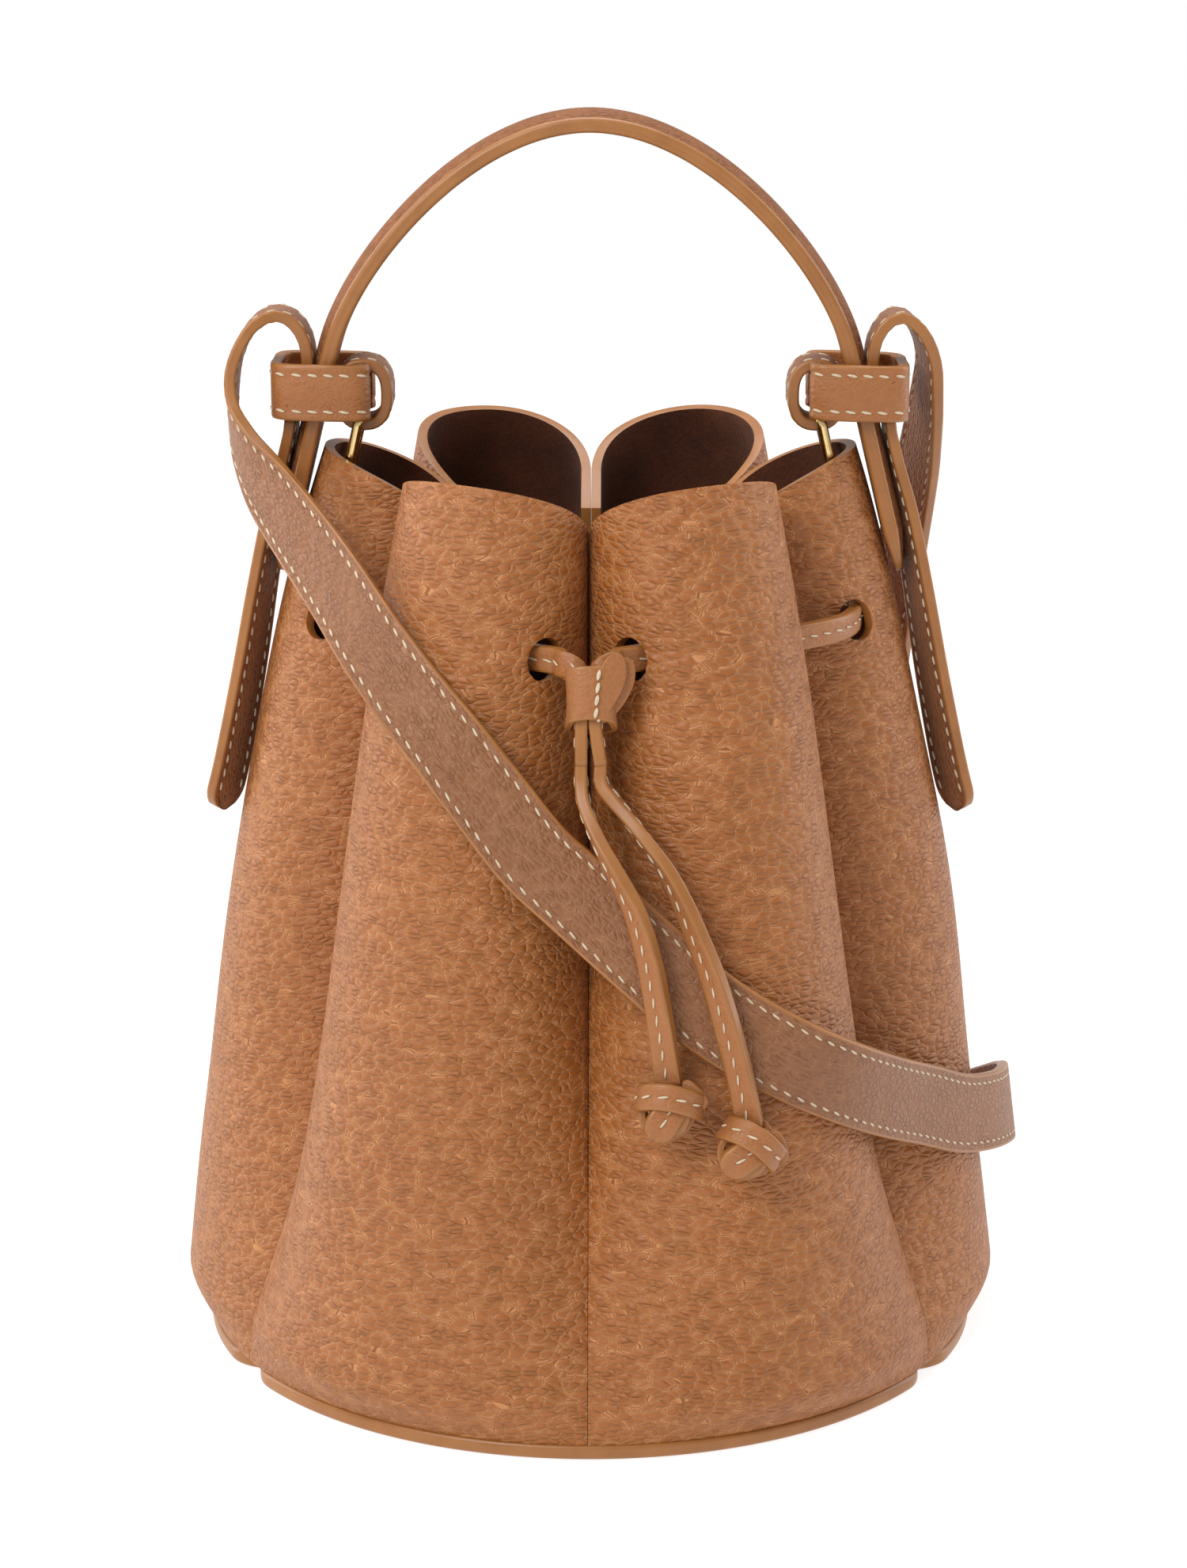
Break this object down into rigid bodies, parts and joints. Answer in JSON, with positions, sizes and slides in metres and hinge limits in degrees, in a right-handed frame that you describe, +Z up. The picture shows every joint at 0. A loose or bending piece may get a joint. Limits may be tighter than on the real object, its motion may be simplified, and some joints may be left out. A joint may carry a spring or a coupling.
{
  "type": "bucket bag",
  "caption": "Leather drawstring bucket bag with a petal body on a stiff round base, a flexing carrying handle and a long shoulder strap knotted to rings.",
  "frame": {"origin": "middle of the sole's underside, on the surface that the bag stands on", "axes": "+Z up, -Y towards the front, where the drawstring's keeper and ends hang, +X to the bag's own left as a viewer in front of it sees right"},
  "size_m": [0.1753, 0.1955, 0.249],
  "materials": {
    "body_leather": "pebbled, slightly glossy",
    "strap_leather": "smooth",
    "lace_leather": "smooth, painted edges",
    "sole_leather": "painted edge",
    "suede": "suede",
    "board": "pressed board",
    "ring_metal": "polished"
  },
  "bodies": {
    "bag": {"sole": "sole_leather", "base_board": "board", "insole": "suede", "petal_right": "body_leather", "petal_back_right": "body_leather", "petal_back_left": "body_leather", "petal_left": "body_leather", "petal_front_left": "body_leather", "petal_front_right": "body_leather", "ring_tab_left": "body_leather", "ring_tab_right": "body_leather", "handle_end_left": "body_leather", "handle_end_right": "body_leather", "lace": "lace_leather", "strap": "strap_leather", "strap_loop_left": "strap_leather", "strap_loop_right": "strap_leather", "strap_wrap_left": "strap_leather", "strap_wrap_right": "strap_leather"},
    "handle": {"handle": "body_leather"},
    "ring_left": {"ring_left": "ring_metal"},
    "ring_right": {"ring_right": "ring_metal"},
    "keeper": {"keeper": "lace_leather"},
    "lace_end_left": {"lace_end_left": "lace_leather", "lace_knot_left": "lace_leather"},
    "lace_end_right": {"lace_end_right": "lace_leather", "lace_knot_right": "lace_leather"},
    "strap_tail_left": {"strap_tail_left": "strap_leather"},
    "strap_tail_right": {"strap_tail_right": "strap_leather"}
  },
  "joints": [
    {"name": "handle_tilt", "type": "hinge", "parent": "bag", "child": "handle", "pos_m": [0, 0, 0.205], "axis": [1, 0, 0], "range_deg": [-25, 25], "stiffness_Nm_per_rad": 0.03},
    {"name": "ring_left_swing", "type": "hinge", "parent": "bag", "child": "ring_left", "pos_m": [-0.0488, 0, 0.1763], "axis": [0, -1, 0], "range_deg": [-6, 3]},
    {"name": "ring_right_swing", "type": "hinge", "parent": "bag", "child": "ring_right", "pos_m": [0.0488, 0, 0.1763], "axis": [0, 1, 0], "range_deg": [-6, 3]},
    {"name": "keeper_slide", "type": "slide", "parent": "bag", "child": "keeper", "axis": [0, -0.2079, -0.9781], "range_m": [0, 0.004]},
    {"name": "lace_end_left_swing", "type": "hinge", "parent": "bag", "child": "lace_end_left", "pos_m": [0, -0.06184, 0.13033], "axis": [-1, 0, 0], "range_deg": [0, 70]},
    {"name": "lace_end_right_swing", "type": "hinge", "parent": "bag", "child": "lace_end_right", "pos_m": [0, -0.06184, 0.13033], "axis": [-1, 0, 0], "range_deg": [0, 70]},
    {"name": "strap_tail_left_swing", "type": "hinge", "parent": "bag", "child": "strap_tail_left", "pos_m": [-0.0596, 0, 0.1891], "axis": [0, 1, 0], "range_deg": [0, 25]},
    {"name": "strap_tail_right_swing", "type": "hinge", "parent": "bag", "child": "strap_tail_right", "pos_m": [0.0596, 0, 0.1891], "axis": [0, -1, 0], "range_deg": [0, 25]}
  ]
}
